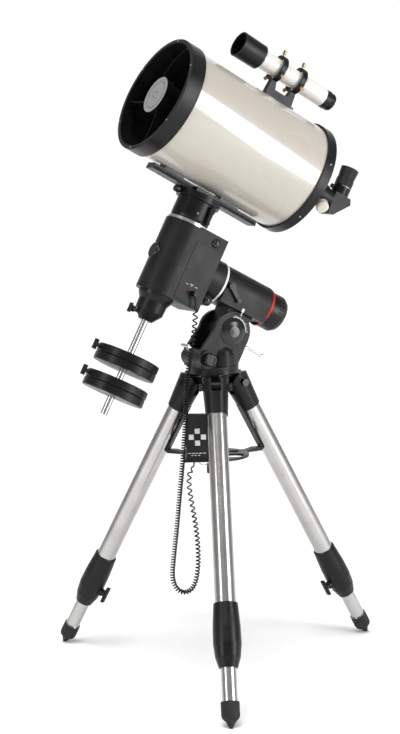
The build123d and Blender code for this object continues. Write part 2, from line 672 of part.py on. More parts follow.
def saddle_screw():
    """The saddle's clamp screw, out of the front edge."""
    return Plane(origin=CROSS + DEC * (HEAD_HIGH + 6.5) + SIGHT * 50, x_dir=DEC, z_dir=SIGHT)


def saddle_knob():
    screw = saddle_screw()
    with BuildPart() as knob:
        bar(screw, -24, 12, 4)
        turned(screw, [(0, 10), (8, 10), (9.5, 12), (9.5, 23), (8, 25), (0, 25)])
    write(knob, "saddle_knob")


# ---- optical tube -------------------------------------------------------------------------
def dovetail_bar():
    """The long bar under the tube with its two radius blocks."""
    half = BAR_WIDE / 2
    slope = BAR_THICK * tan(radians(15))
    low = BAR_TOP - BAR_THICK
    with BuildPart() as rail:
        with BuildSketch(ota_frame.offset(BAR_REAR)) as section:
            Polygon((-half, low), (half, low), (half - slope, BAR_TOP), (slope - half, BAR_TOP), align=None)
        extrude(section.sketch, amount=BAR_FRONT - BAR_REAR)
        for place in (-78.0, 100.0):
            block(at(ota_frame, y=BAR_TOP + 6), place - 30, place + 30, 34, 14)
        bar(ota_frame, BAR_REAR, BAR_FRONT, TUBE_OUT, Mode.SUBTRACT)
    write(rail, "dovetail_bar")


def optical_tube():
    with BuildPart() as tube:
        bar(ota_frame, TUBE_REAR, TUBE_FRONT, TUBE_OUT)
        bar(ota_frame, TUBE_REAR, TUBE_FRONT, TUBE_OUT - TUBE_SKIN, Mode.SUBTRACT)
    write(tube, "optical_tube")


def front_ring():
    """The black front ring, with a narrower mouth in front of the tube."""
    mouth = 142.0
    with BuildPart() as ring:
        bar(ota_frame, RING_BACK, RING_FRONT, RING_OUT)
        bar(ota_frame, RING_BACK, TUBE_FRONT, TUBE_OUT, Mode.SUBTRACT)
        bar(ota_frame, TUBE_FRONT, RING_FRONT, mouth, Mode.SUBTRACT)
        fillet(ring.edges().group_by(Axis(ota_frame.origin, SIGHT))[-1], 1.5)
    write(ring, "front_ring")


def rear_cell():
    """The rear ring with the back plate that carries mirror and focuser."""
    inside = [(0, CELL_REAR - 14), (58, CELL_REAR - 14), (140, CELL_REAR + 6)]
    with BuildPart() as cell:
        turned(
            ota_frame,
            [
                (0, CELL_REAR - 22),
                (60, CELL_REAR - 22),
                (110, CELL_REAR - 14),
                (RING_OUT - 8, CELL_REAR),
                (RING_OUT, CELL_REAR + 4),
                (RING_OUT, TUBE_REAR),
                (0, TUBE_REAR),
            ],
        )
        turned(
            ota_frame,
            [*inside, (140, TUBE_REAR), (0, TUBE_REAR)],
            Mode.SUBTRACT,
        )
        bar(ota_frame, CELL_REAR - 40, CELL_REAR, 30, Mode.SUBTRACT)
    write(cell, "rear_cell")


def primary_mirror():
    """The main mirror with its centre hole, dished in front."""
    with BuildPart() as mirror:
        turned(
            ota_frame,
            [(31, -238), (128, -238), (128, -212), (100, -217), (66, -220.5), (31, -222)],
        )
        turned(ota_frame, [(31, -238), (31, -120), (29, -120), (29, -238)])
    write(mirror, "primary_mirror")


# each vane's turn round the tube at the holder, half way out and at the ring
VANE_TURNS = ((108.0, 84.0, 67.0), (200.0, 190.0, 185.0), (312.0, 297.0, 284.0))


def spider():
    """Three curved vanes, the secondary holder and the secondary mirror."""
    hold_r, front, back = 48.5, RING_FRONT - 4, 176.0
    reach, foot_reach = 142.0, 138.5
    vane_half, vane_back, vane_deep = 0.8, RING_FRONT - 30, 22.0
    with BuildPart() as vanes:
        bar(ota_frame, RING_FRONT - 26, front, hold_r)
        bar(ota_frame, back, RING_FRONT - 26, 42)
        for turns in VANE_TURNS:
            inner, middle, outer = [
                Vector(cos(radians(turn)), sin(radians(turn))) * radius
                for turn, radius in zip(turns, (hold_r - 3, 95, reach - GAP))
            ]
            across = outer.normalized()
            half = Vector(-across.Y, across.X) * vane_half
            with BuildSketch(ota_frame.offset(vane_back)) as vane:
                with BuildLine():
                    ThreePointArc(inner - half, middle - half, outer - half)
                    Line(outer - half, outer + half)
                    ThreePointArc(outer + half, middle + half, inner + half)
                    Line(inner + half, inner - half)
                make_face()
            extrude(vane.sketch, amount=vane_deep)
            foot_place = across * foot_reach
            foot = Plane(
                origin=ota_frame.from_local_coords(Vector(foot_place.X, foot_place.Y, vane_back)),
                x_dir=ota_frame.from_local_coords(across) - ota_frame.origin,
                z_dir=SIGHT,
            )
            block(foot, 0, vane_deep, 6, 12)
    write(vanes, "spider")


def focuser():
    """The focuser's fixed barrel behind the back plate, with its bent housing."""
    with BuildPart() as barrel:
        bar(ota_frame, FOCUS_END + 21, CELL_REAR - 14, 30)
        bar(ota_frame, FOCUS_END, FOCUS_END + 21, 26)
        bar(ota_frame, FOCUS_END, CELL_REAR, 20, Mode.SUBTRACT)
        bar(focus_axis(), -6, 18, 9)
        bar(focus_axis(), -8, 30, 4 + FIT, Mode.SUBTRACT)
    write(barrel, "focuser")


def focus_axis():
    """The focus knob's spindle, out of the barrel's near lower side."""
    out = (SIGHT_NEAR * cos(radians(40)) - DEC * sin(radians(40))).normalized()
    return Plane(origin=TUBE_MID - SIGHT * 318 + out * 30, x_dir=SIGHT, z_dir=out)


def focus_knob():
    spindle = focus_axis()
    with BuildPart() as knob:
        bar(spindle, -4, 20, 4)
        turned(spindle, [(0, 18.3), (14, 18.3), (17, 21), (17, 36), (13, 40), (0, 41)])
    write(knob, "focus_knob")


def diagonal():
    """The star diagonal: a nose, a wedge-shaped prism housing and an eyepiece holder."""
    nose_r, box_half = 19.7, 24.0
    start = FOCUS_END - GAP
    holder = Plane(origin=TUBE_MID + SIGHT * EYE_PLACE, x_dir=SIGHT, z_dir=DEC)
    wedge = [(start, -31), (start, 23), (start - 51, 23), (start - 57, 8), (start - 18, -38)]
    with BuildPart() as prism:
        plate(ota_side, [*wedge, (start - 4, -40)], box_half)
        bar(ota_frame, start - 4, start + 36, nose_r)
        bar(holder, 16, 46, 24)
        bar(ota_frame, start - 18, start + 40, 15, Mode.SUBTRACT)
        bar(holder, -5, 47, 15.9, Mode.SUBTRACT)
        screw = Plane(origin=holder.origin + DEC * 36 + SIGHT * 20, x_dir=DEC, z_dir=SIGHT)
        bar(screw, 0, 14, 3)
        bar(screw, 8, 14, 6)
    write(prism, "diagonal")


def eyepiece():
    """The eyepiece: a chromed barrel, a body and a rubber eye cup."""
    holder = Plane(origin=TUBE_MID + SIGHT * EYE_PLACE, x_dir=SIGHT, z_dir=DEC)
    with BuildPart() as lens:
        turned(
            holder,
            [
                (0, 22),
                (15.85, 22),
                (15.85, 46.3),
                (23, 46.3),
                (24, 50),
                (24, 68),
                (22.5, 71),
                (23, 75),
                (25, 100),
                (17, 100),
                (13, 90),
                (0, 88),
            ],
        )
    write(lens, "eyepiece")


# ---- finder -------------------------------------------------------------------------------
def finder_tube():
    with BuildPart() as tube:
        bar(finder_frame, -212, 6, FINDER_R)
        bar(finder_frame, -212, 6, FINDER_R - 2, Mode.SUBTRACT)
    write(tube, "finder_tube")


def finder_ends():
    """The finder's dew hood in front and its eyepiece behind, each screwed on."""
    hood = [(25.2, 6.2), (30, 2), (33, 4), (34, 74)]
    cup = [(0, -229), (22, -229), (24, -239), (22, -244)]
    with BuildPart() as ends:
        turned(finder_frame, [*hood, (30, 74), (29, 10), (23, 10), (23, 6.2)])
        bar(finder_frame, -229, -212.2, FINDER_R)
        turned(finder_frame, [*cup, (10, -244), (9, -236), (0, -236)])
    write(ends, "finder_ends")


def finder_bracket():
    """Two rings on one foot, with the thumb screws that aim the finder."""
    places = (-58.0, -124.0)
    bore = 30.0
    web_feet = [(-44, 3), (44, 3), (40, 45), (26, 45)]
    with BuildPart() as bracket:
        for place in places:
            bar(finder_frame, place - 7, place + 7, bore + 6)
        post = at(ota_frame, y=TUBE_OUT)
        with BuildSketch(at(ota_side, x=-91, y=TUBE_OUT)) as web:
            Polygon(*web_feet, (20, 25), (-20, 25), (-26, 45), (-40, 45), align=None)
        extrude(web.sketch, amount=9, both=True)
        block(post, -135, -43, 44, 10)
        for place in places:
            bar(finder_frame, place - 8, place + 8, bore, Mode.SUBTRACT)
            for turn in (90.0, 210.0, 330.0):
                out = SIGHT_NEAR * cos(radians(turn)) + DEC * sin(radians(turn))
                screw = Plane(origin=finder_frame.origin + SIGHT * place, x_dir=SIGHT, z_dir=out)
                bar(screw, FINDER_R, 44, 2.5)
                bar(screw, 42, 52, 5)
        bar(ota_frame, -145, -40, TUBE_OUT, Mode.SUBTRACT)
    write(bracket, "finder_bracket")


# ---- curly cord ---------------------------------------------------------------------------
def plug_mouth():
    """The plug's lower end, z pointing up into the plug."""
    face = cover_frame()
    spot = face.from_local_coords(Vector(SOCKET_DOWN, PLUG_ASIDE, 14.0))
    return Plane(origin=spot - UP * 14, x_dir=(1, 0, 0), z_dir=UP)


def cord_plug():
    """The controller lead's plug with its downward outlet."""
    face = at(cover_frame(), x=SOCKET_DOWN, y=PLUG_ASIDE)
    with BuildPart() as plug:
        block(face, 3, 20, 11, 10)
        bar(plug_mouth(), 0, 14, 4.5)
    write(plug, "cord_plug")


# the cord's way down from the plug, round its bottom bend and up to the controller,
# from the tripod's centre line
CORD_WAY = [
    (-50.5, -108.5, 880.0),
    (-62.0, -111.5, 822.0),
    (-70.0, -112.5, 757.0),
    (-74.0, -112.0, 688.0),
    (-80.0, -110.5, 613.0),
    (-88.0, -108.0, 535.0),
    (-97.0, -106.5, 457.0),
    (-105.0, -106.0, 382.0),
    (-114.5, -105.5, 312.0),
    (-119.5, -105.0, 262.0),
    (-108.0, -104.0, 231.0),
    (-86.0, -103.0, 221.0),
    (-64.0, -101.5, 235.0),
    (-52.5, -99.5, 275.0),
    (-50.0, -96.5, 332.0),
    (-55.0, -92.5, 396.0),
    (-64.5, -88.0, 455.0),
    (-71.0, -83.0, 503.0),
    (-68.5, -76.5, 532.0),
    (-56.0, -68.0, 547.0),
]
CORD_END = (-56.0, -68.0, HAND_Z - FIT)
CORD_DROP = 43.0


def cord_route():
    """The whole route's points, from the plug's mouth to the controller."""
    way = [CENTRE + Vector(*point) for point in CORD_WAY]
    mouth = plug_mouth().origin
    return [mouth - UP * FIT, mouth - UP * CORD_DROP, *way, CENTRE + Vector(*CORD_END)]


def corner_radii(points):
    """The largest arc at each corner: 0.45 of the shorter run over the half turn's tangent."""
    radii = []
    for before, here, after in zip(points, points[1:], points[2:]):
        turn = (here - before).get_angle(after - here)
        shorter = min((here - before).length, (after - here).length)
        radii.append(0.45 * shorter / tan(radians(turn / 2)))
    return radii


def handset_cord():
    """The curly cord's outer shape, one tube of the coil's outer diameter."""
    points = cord_route()
    radii = corner_radii(points)
    with BuildPart() as cord:
        with BuildLine() as path:
            FilletPolyline(*points, radius=radii)
        wire = path.wires()[0]
        with BuildSketch(Plane(origin=points[0], z_dir=points[1] - points[0])):
            Circle(CORD_R)
        sweep(path=wire)
    print("cord radii", [round(radius, 1) for radius in radii])
    print("cord length", round(wire.length, 1), "tube volume", round(cord.part.volume, 1))
    print("section times length", round(pi * CORD_R**2 * wire.length, 1))
    print("cord points", [tuple(round(value, 2) for value in point) for point in points])
    write(cord, "handset_cord")


# ---- every piece --------------------------------------------------------------------------
tripod_hub()
leg_pins()
center_rod()
for side, turn in LEG_TURNS.items():
    leg_sleeve(side, turn)
    leg_tube(side, turn)
    leg_clamp(side, turn)
    leg_knob(side, turn)
    lower_leg(side, turn)
spreader_tray()
tray_knob()
handset_case()
for name in KEY_PLACES:
    key(name)
azimuth_base()
pivot_caps()
azimuth_knobs()
altitude_bolt_front()
altitude_bolt_rear()
ra_housing()
ra_lever()
polar_cap()
dec_housing()
dec_cover()
dec_end_cap()
counter_shaft()
for name, low in WEIGHT_LOWS.items():
    weight(name, low)
front_cap()
dec_head()
dec_scale_ring()
dec_lever()
saddle()
saddle_knob()
dovetail_bar()
optical_tube()
front_ring()
rear_cell()
primary_mirror()
spider()
focuser()
focus_knob()
diagonal()
eyepiece()
finder_tube()
finder_ends()
finder_bracket()
cord_plug()
handset_cord()
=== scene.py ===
"""Looks for a reflecting telescope on an equatorial mount and a steel tripod.

Metres, +Z up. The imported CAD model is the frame, and the places on the object are
measured in millimetres from its joints, its axes and its nodes' boxes.
"""

import json
import math

import bmesh
import bpy
from mathutils import Matrix, Vector


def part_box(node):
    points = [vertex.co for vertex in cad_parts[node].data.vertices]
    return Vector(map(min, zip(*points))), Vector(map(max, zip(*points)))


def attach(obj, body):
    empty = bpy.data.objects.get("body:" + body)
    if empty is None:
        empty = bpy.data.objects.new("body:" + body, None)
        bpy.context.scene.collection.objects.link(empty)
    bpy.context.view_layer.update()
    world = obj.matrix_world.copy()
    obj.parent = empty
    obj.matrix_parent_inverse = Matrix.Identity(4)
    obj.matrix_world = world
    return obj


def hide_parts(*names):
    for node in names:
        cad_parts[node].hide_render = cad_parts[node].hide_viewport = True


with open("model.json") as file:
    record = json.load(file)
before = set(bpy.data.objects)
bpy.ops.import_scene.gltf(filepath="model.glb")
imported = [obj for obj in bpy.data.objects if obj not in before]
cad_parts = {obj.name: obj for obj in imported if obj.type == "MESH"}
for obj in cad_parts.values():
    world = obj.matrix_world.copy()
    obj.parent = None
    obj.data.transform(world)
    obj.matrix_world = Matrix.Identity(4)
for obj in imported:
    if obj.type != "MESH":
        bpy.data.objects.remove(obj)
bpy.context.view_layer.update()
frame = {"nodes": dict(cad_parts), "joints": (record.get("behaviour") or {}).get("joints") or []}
NODES = frame["nodes"]
JOINTS = {joint["name"]: joint for joint in frame["joints"]}
MM = 0.001


# ---- places read from the frame ---------------------------------------------------------
def joint_point(name):
    return Vector(JOINTS[name]["pos_m"])


def joint_axis(name):
    return Vector(JOINTS[name]["axis"]).normalized()


UP = Vector((0, 0, 1))
CENTRE = joint_point("azimuth_turn")
CROSS = joint_point("dec_turn")
POLAR = joint_axis("polar_turn")
DEC = joint_axis("dec_turn")
NEAR = DEC.cross(POLAR)
SIGHT = joint_axis("dovetail_slide")
SIGHT_NEAR = DEC.cross(SIGHT)
TUBE_MID = joint_point("diagonal_turn")
LEGS = ("front", "left", "right")


class Place:
    """A frame with its own x, y and z, which turns millimetres there into the scene's metres."""

    def __init__(self, origin, z_dir, x_dir):
        self.origin = origin.copy()
        self.z = z_dir.normalized()
        self.x = (x_dir - self.z * x_dir.dot(self.z)).normalized()
        self.y = self.z.cross(self.x)

    def point(self, x=0.0, y=0.0, z=0.0):
        return self.origin + (self.x * x + self.y * y + self.z * z) * MM

    def at(self, x=0.0, y=0.0, z=0.0):
        return Place(self.point(x, y, z), self.z, self.x)


tube_place = Place(TUBE_MID, SIGHT, SIGHT_NEAR)
ra_place = Place(CROSS, POLAR, NEAR)
dec_place = Place(CROSS, DEC, POLAR)
COVER_OUT = 58.0  # from the declination axis to the electronics cover's face
cover_face = Place(CROSS + NEAR * COVER_OUT * MM, NEAR, POLAR)
FINDER_HEIGHT = 226.0  # from the tube's axis to the finder's
finder_place = tube_place.at(y=FINDER_HEIGHT)


# ---- camera -------------------------------------------------------------------------------
CAMERA_BACK, CAMERA_HIGH = 4.0447, 1.3143
CAMERA_PITCH, CAMERA_YAW, CAMERA_ROLL = 0.12793, -0.00888, -0.02307
CAMERA_LENS, CAMERA_SENSOR = 77.18, 36.0


def make_camera():
    """Stands in front of the tripod's centre line and looks a little down."""
    data = bpy.data.cameras.new("camera")
    data.lens = CAMERA_LENS
    data.sensor_width = CAMERA_SENSOR
    data.sensor_fit = "AUTO"
    camera = bpy.data.objects.new("camera", data)
    bpy.context.scene.collection.objects.link(camera)
    bpy.context.scene.camera = camera
    level = math.cos(CAMERA_PITCH)
    ahead = Vector(
        (math.sin(CAMERA_YAW) * level, math.cos(CAMERA_YAW) * level, -math.sin(CAMERA_PITCH))
    )
    right = Vector((math.cos(CAMERA_YAW), -math.sin(CAMERA_YAW), 0))
    top = right.cross(ahead)
    side = right * math.cos(CAMERA_ROLL) + top * math.sin(CAMERA_ROLL)
    top = side.cross(ahead)
    turn = Matrix((side, top, -ahead)).transposed().to_4x4()
    stand = Matrix.Translation((CENTRE.x, CENTRE.y - CAMERA_BACK, CAMERA_HIGH))
    camera.matrix_world = stand @ turn


make_camera()


# ---- materials ----------------------------------------------------------------------------
class Paint:
    """One procedural material: its node tree and short calls for the nodes used here."""

    def __init__(self, name, color, rough, metal=0.0, coat=0.0, shine=0.5):
        self.material = bpy.data.materials.new(name)
        self.material.use_nodes = True
        self.tree = self.material.node_tree
        self.shader = self.tree.nodes["Principled BSDF"]
        self.put("Base Color", (*color, 1.0))
        self.put("Roughness", rough)
        self.put("Metallic", metal)
        self.put("Coat Weight", coat)
        self.put("Specular IOR Level", shine)
        self.put("Coat Roughness", 0.04)
        self.color = color
        self.rough = rough
        self.where = self.tree.nodes.new("ShaderNodeTexCoord").outputs["Object"]

    def put(self, socket, value):
        self.shader.inputs[socket].default_value = value

    def link(self, output, socket):
        self.tree.links.new(output, self.shader.inputs[socket])

    def noise(self, scale, detail=4.0, coords=None):
        node = self.tree.nodes.new("ShaderNodeTexNoise")
        node.inputs["Scale"].default_value = scale
        node.inputs["Detail"].default_value = detail
        self.tree.links.new(coords or self.where, node.inputs["Vector"])
        return node.outputs["Fac"]

    def cells(self, scale):
        node = self.tree.nodes.new("ShaderNodeTexVoronoi")
        node.inputs["Scale"].default_value = scale
        self.tree.links.new(self.where, node.inputs["Vector"])
        return node.outputs["Distance"]

    def along(self, axis):
        """How far a point lies along an axis, in metres."""
        node = self.tree.nodes.new("ShaderNodeVectorMath")
        node.operation = "DOT_PRODUCT"
        node.inputs[1].default_value = axis
        self.tree.links.new(self.where, node.inputs[0])
        return node.outputs["Value"]

    def across(self, axis):
        """The point with its part along the axis taken away, so a texture streaks along it."""
        scaled = self.tree.nodes.new("ShaderNodeVectorMath")
        scaled.operation = "SCALE"
        scaled.inputs[0].default_value = axis
        self.tree.links.new(self.along(axis), scaled.inputs["Scale"])
        node = self.tree.nodes.new("ShaderNodeVectorMath")
        node.operation = "SUBTRACT"
        self.tree.links.new(self.where, node.inputs[0])
        self.tree.links.new(scaled.outputs["Vector"], node.inputs[1])
        return node.outputs["Vector"]

    def spread(self, value, low, high, start=0.0, stop=1.0):
        """A value from start to stop spread over low to high."""
        node = self.tree.nodes.new("ShaderNodeMapRange")
        sockets = ("From Min", "From Max", "To Min", "To Max")
        for socket, number in zip(sockets, (start, stop, low, high)):
            node.inputs[socket].default_value = number
        self.tree.links.new(value, node.inputs["Value"])
        return node.outputs["Result"]

    def shades(self, value, dark, light, start=0.3, stop=0.7):
        """A colour between two shades."""
        node = self.tree.nodes.new("ShaderNodeValToRGB")
        low, high = node.color_ramp.elements
        low.position, high.position = start, stop
        low.color, high.color = (*dark, 1.0), (*light, 1.0)
        self.tree.links.new(value, node.inputs["Fac"])
        return node.outputs["Color"]

    def bump(self, height, strength, distance, under=None):
        node = self.tree.nodes.new("ShaderNodeBump")
        node.inputs["Strength"].default_value = strength
        node.inputs["Distance"].default_value = distance
        self.tree.links.new(height, node.inputs["Height"])
        if under is not None:
            self.tree.links.new(under, node.inputs["Normal"])
        return node.outputs["Normal"]

    def vary(self, scale, share, detail=3.0):
        """Lets the base colour wander by a share of itself, and the roughness with it."""
        fac = self.noise(scale, detail)
        dark = [channel * (1 - share) for channel in self.color]
        light = [min(1.0, channel * (1 + share)) for channel in self.color]
        self.link(self.shades(fac, dark, light), "Base Color")
        self.link(self.spread(fac, self.rough * 0.85, self.rough * 1.2, 0.3, 0.7), "Roughness")

    def stripes(self, axis, pitch):
        """A wave along an axis with one crest each pitch in metres."""
        node = self.tree.nodes.new("ShaderNodeMath")
        node.operation = "SINE"
        scaled = self.tree.nodes.new("ShaderNodeMath")
        scaled.operation = "MULTIPLY"
        scaled.inputs[1].default_value = 2 * math.pi / pitch
        self.tree.links.new(self.along(axis), scaled.inputs[0])
        self.tree.links.new(scaled.outputs["Value"], node.inputs[0])
        return node.outputs["Value"]


def drawn_steel(name, axis, color=(0.50, 0.49, 0.48), rough=0.20):
    """Steel tube with fine drawing lines along it and faint cloudy handling marks."""
    paint = Paint(name, color, rough, metal=1.0)
    lines = paint.noise(1500.0, 2.0, paint.across(axis))
    cloud = paint.noise(14.0, 5.0)
    dark, light = [0.9 * c for c in color], [1.08 * c for c in color]
    paint.link(paint.shades(cloud, dark, light), "Base Color")
    paint.link(paint.spread(lines, rough - 0.06, rough + 0.12), "Roughness")
    paint.link(paint.bump(lines, 0.05, 0.0004), "Normal")
    return paint.material


def polished_metal(name, color, rough):
    """Plated or machined metal, a little uneven in its polish."""
    paint = Paint(name, color, rough, metal=1.0)
    paint.link(paint.spread(paint.noise(60.0), rough * 0.8, rough * 1.3, 0.3, 0.7), "Roughness")
    return paint.material


def casting(name, color, rough, grain, depth, shine=0.24):
    """A painted casting: fine stipple over a slow unevenness."""
    paint = Paint(name, color, rough, shine=shine)
    paint.vary(22.0, 0.18)
    slow = paint.bump(paint.noise(45.0, 3.0), 0.10, 0.0012)
    paint.link(paint.bump(paint.noise(grain, 3.0), depth, 0.0004, slow), "Normal")
    return paint.material


def moulded(name, color, rough, share=0.12, shine=0.24):
    """Moulded plastic with a faint spark-eroded grain."""
    paint = Paint(name, color, rough, shine=shine)
    paint.vary(35.0, share)
    paint.link(paint.bump(paint.noise(1700.0, 2.0), 0.12, 0.0002), "Normal")
    return paint.material


def rubber(name):
    """Black rubber, dusty and slightly pitted."""
    paint = Paint(name, (0.014, 0.014, 0.015), 0.66, shine=0.3)
    clean, dusty = (0.010, 0.010, 0.011), (0.030, 0.029, 0.028)
    dust = paint.noise(70.0, 6.0)
    paint.link(paint.shades(dust, clean, dusty, 0.45, 0.8), "Base Color")
    paint.link(paint.bump(paint.cells(900.0), 0.2, 0.0004), "Normal")
    return paint.material


def cream_paint(name, color):
    """Glossy cream enamel over metal, with a breath of orange peel under the clear coat."""
    paint = Paint(name, color, 0.30, coat=0.9)
    paint.vary(3.5, 0.025, 2.0)
    paint.link(paint.bump(paint.noise(95.0, 2.0), 0.035, 0.0010), "Normal")
    paint.put("Coat Roughness", 0.05)
    return paint.material


def mirror_glass(name):
    """A silvered mirror, very slightly uneven."""
    paint = Paint(name, (0.86, 0.87, 0.89), 0.02, metal=1.0)
    paint.link(paint.spread(paint.noise(9.0, 4.0), 0.015, 0.05), "Roughness")
    return paint.material


def lens_glass(name, tint):
    """Dark coated glass that lets some light in."""
    paint = Paint(name, tint, 0.03, coat=1.0)
    paint.put("Transmission Weight", 0.55)
    paint.put("IOR", 1.52)
    paint.link(paint.shades(paint.noise(30.0), [0.8 * c for c in tint], tint), "Base Color")
    return paint.material


def ribbed(name, color, rough, axis, pitch, depth=0.6):
    """A moulded grip with ribs across an axis."""
    paint = Paint(name, color, rough, shine=0.3)
    paint.vary(40.0, 0.15)
    grain = paint.bump(paint.noise(1500.0, 2.0), 0.1, 0.0002)
    paint.link(paint.bump(paint.stripes(axis, pitch), depth, 0.0006, grain), "Normal")
    return paint.material


BLACK = (0.0062, 0.0056, 0.0058)
MAT = {
    "black_casting": casting("black_casting", BLACK, 0.33, 700.0, 0.14),
    "charcoal": casting("charcoal_paint", (0.0085, 0.0077, 0.0080), 0.42, 1150.0, 0.34),
    "cover": casting("cover_paint", (0.0100, 0.0092, 0.0095), 0.40, 1300.0, 0.28),
    "plastic": moulded("black_plastic", (0.0055, 0.0055, 0.0058), 0.28),
    "handset": moulded("handset_plastic", (0.0125, 0.0122, 0.0128), 0.42),
    "gloss": moulded("gloss_plastic", (0.0070, 0.0070, 0.0073), 0.22, 0.1, 0.5),
    # painted highlight: a grey far lighter than the castings, for the strip standing for the light
    # along the housing's seam
    "seam": casting("seam_highlight_paint", (0.060, 0.057, 0.056), 0.40, 1150.0, 0.2, 0.5),
    "cord": moulded("cord_skin", (0.0050, 0.0050, 0.0052), 0.34, 0.12, 0.15),
    "rubber": rubber("black_rubber"),
    "inside": moulded("tube_inside", (0.0045, 0.0045, 0.0047), 0.45, 0.2, 0.2),
    "cream": cream_paint("cream_enamel", (0.415, 0.386, 0.340)),
    # painted light: the finder's enamel is the tube's cream with a lighter base colour, a lit copy
    # of one paint
    "finder_lit_cream": cream_paint("lit_copy_of_cream_enamel", (0.66, 0.64, 0.60)),
    "brass": polished_metal("brass_screw", (0.42, 0.30, 0.16), 0.30),
    "black_steel": polished_metal("blacked_steel", (0.045, 0.044, 0.045), 0.32),
    "mirror": mirror_glass("mirror_coating"),
    "secondary": moulded("secondary_paint", (0.22, 0.22, 0.22), 0.38, 0.05),
    "key": moulded("key_plastic", (0.74, 0.74, 0.73), 0.40, 0.03),
    "white": moulded("white_print", (0.72, 0.72, 0.70), 0.50, 0.04),
    "cap": moulded("cream_cap", (0.58, 0.55, 0.49), 0.28, 0.04),
    "red": moulded("red_ring_paint", (0.44, 0.012, 0.010), 0.30, 0.10),
    "lamp": moulded("red_lamp", (0.45, 0.015, 0.015), 0.12, 0.05),
    "chrome": polished_metal("chrome_plate", (0.62, 0.62, 0.63), 0.16),
    "silver": polished_metal("machined_ring", (0.70, 0.69, 0.68), 0.24),
    "zinc": polished_metal("zinc_plate", (0.50, 0.50, 0.51), 0.26),
    "objective": lens_glass("objective_glass", (0.10, 0.13, 0.16)),
    "eye_glass": lens_glass("eye_glass", (0.06, 0.08, 0.08)),
    "grip": ribbed("ribbed_grip", (0.010, 0.010, 0.0105), 0.40, DEC, 0.0040),
    "dovetail": ribbed("dovetail_anodised", (0.011, 0.011, 0.012), 0.28, SIGHT_NEAR, 0.0046, 0.5),
}


def clothe(name, *materials):
    """Gives a CAD node its materials, the first one everywhere."""
    data = NODES[name].data
    data.materials.clear()
    for material in materials:
        data.materials.append(material)
    for face in data.polygons:
        face.material_index = 0


def paint_faces(name, test):
    """Gives a node's second material to the faces whose middle and normal pass a test."""
    for face in NODES[name].data.polygons:
        if test(Vector(face.center), Vector(face.normal)):
            face.material_index = 1


def away(point, place):
    """A point's distance from a place's z axis, in millimetres."""
    offset = point - place.origin
    return (offset - place.z * offset.dot(place.z)).length / MM


PLAIN = {
    "black_casting": [
        "tripod_hub",
        "spreader_tray",
        "dec_end_cap",
        "dec_head",
        "saddle",
        "focuser",
        "diagonal",
        "finder_ends",
    ],
    "charcoal": ["azimuth_base", "ra_housing", "dec_housing"],
    "gloss": ["pivot_caps"],
    "black_steel": ["leg_pins"],
    "plastic": [
        "tray_knob",
        "cord_plug",
        "azimuth_knobs",
        "ra_lever",
        "dec_lever",
        "saddle_knob",
        "front_cap",
        "polar_cap",
    ],
    "handset": ["handset_case"],
    "zinc": ["center_rod", "altitude_bolt_front", "altitude_bolt_rear"],
    "chrome": ["counter_shaft"],
    "silver": ["dec_scale_ring"],
    "key": ["key_up", "key_down", "key_left", "key_right"],
    "cap": ["focus_knob"],
    "mirror": ["primary_mirror"],
    "dovetail": ["dovetail_bar"],
}
TWO_TONE = {
    "dec_cover": ("cover", "plastic"),
    "front_ring": ("black_casting", "inside"),
    "rear_cell": ("black_casting", "inside"),
    "eyepiece": ("grip", "chrome"),
    "spider": ("black_casting", "secondary"),
    "optical_tube": ("cream", "inside"),
    "finder_tube": ("finder_lit_cream", "inside"),
    "finder_bracket": ("black_casting", "brass"),
    "weight_upper": ("black_casting", "plastic"),
    "weight_lower": ("black_casting", "plastic"),
}


def dress_nodes():
    """Every CAD node's own material, and a second one on the nodes that have two."""
    for material, names in PLAIN.items():
        for name in names:
            clothe(name, MAT[material])
    for name, pair in TWO_TONE.items():
        clothe(name, *(MAT[material] for material in pair))
    for side in LEGS:
        steel = drawn_steel(f"leg_steel_{side}", joint_axis(f"lower_leg_slide_{side}"))
        clothe(f"leg_sleeve_{side}", MAT["black_casting"])
        clothe(f"leg_clamp_{side}", MAT["black_casting"])
        clothe(f"leg_knob_{side}", MAT["plastic"])
        clothe(f"leg_tube_{side}", steel)
        clothe(f"lower_leg_{side}", steel, MAT["rubber"])


# radii of the parts that get a second material, and where it starts on the others
TUBE_R, RING_BORE_R, FINDER_BORE_R = 146.2, 144.2, 24.0
SECONDARY_R, WEIGHT_EDGE_R = 48.5, 83.0
EYEPIECE_NECK, SOCKETS_OUT, FOOT_CUP = 47.0, 1.0, 62.0
FINDER_RING_R, AIM_SCREW_R = 36.5, 5.3
AIM_SCREWS = [(place, turn) for place in (-58.0, -124.0) for turn in (90.0, 210.0, 330.0)]


def on_aiming_screw(point, normal):
    """Whether a face of the finder's bracket belongs to one of its aiming screws."""
    offset = (point - finder_place.origin) / MM
    x, y, z = (offset.dot(axis) for axis in (finder_place.x, finder_place.y, finder_place.z))
    for place, turn in AIM_SCREWS:
        cos, sin = math.cos(math.radians(turn)), math.sin(math.radians(turn))
        out = x * cos + y * sin
        aside = y * cos - x * sin
        if out > FINDER_RING_R and math.hypot(aside, z - place) < AIM_SCREW_R:
            return True
    return False


def within(place, radius):
    """A test for faces nearer than a radius to a place's z axis."""
    return lambda p, n: away(p, place) < radius


